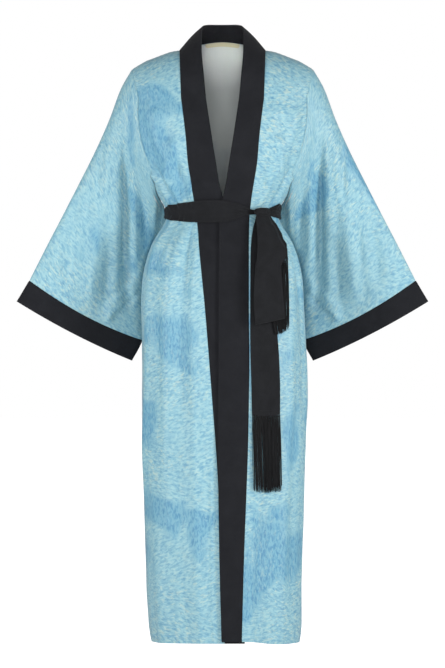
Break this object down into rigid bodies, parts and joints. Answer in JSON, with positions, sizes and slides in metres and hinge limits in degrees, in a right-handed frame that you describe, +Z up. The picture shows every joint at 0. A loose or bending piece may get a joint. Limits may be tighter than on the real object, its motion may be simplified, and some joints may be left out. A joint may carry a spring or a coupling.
{
  "type": "kimono robe with tied belt",
  "caption": "Long kimono robe of mottled blue satin with dark neckband, cuff bands and a fringed belt tied in a bow, filled out as worn and hollow.",
  "frame": {"origin": "middle of the neck's base, level with the side of the neck on the shoulder line, where the wearer's neck and shoulders hold the robe up", "axes": "+Z up along the wearer's height, -Y to the front where the robe opens, +X to the wearer's left"},
  "size_m": [0.9258, 0.2903, 1.3916],
  "materials": {
    "blue_satin": "soft satin with a mottled blue print",
    "black_crepe": "matt black crepe",
    "black_fringe": "dull black yarn",
    "tan_label": "plain woven tape"
  },
  "bodies": {
    "root": {"back_panel": "blue_satin", "front_left_panel": "blue_satin", "front_right_panel": "blue_satin", "sleeve_left": "blue_satin", "sleeve_right": "blue_satin", "cuff_left": "black_crepe", "cuff_right": "black_crepe", "neckband_left": "black_crepe", "neckband_right": "black_crepe", "neckband_back": "black_crepe", "belt_waist": "black_crepe", "belt_knot": "black_crepe", "belt_loop": "black_crepe", "belt_tail_long": "black_crepe", "belt_tail_short": "black_crepe", "fringe_long": "black_fringe", "fringe_short": "black_fringe", "neck_label": "tan_label"}
  },
  "joints": []
}
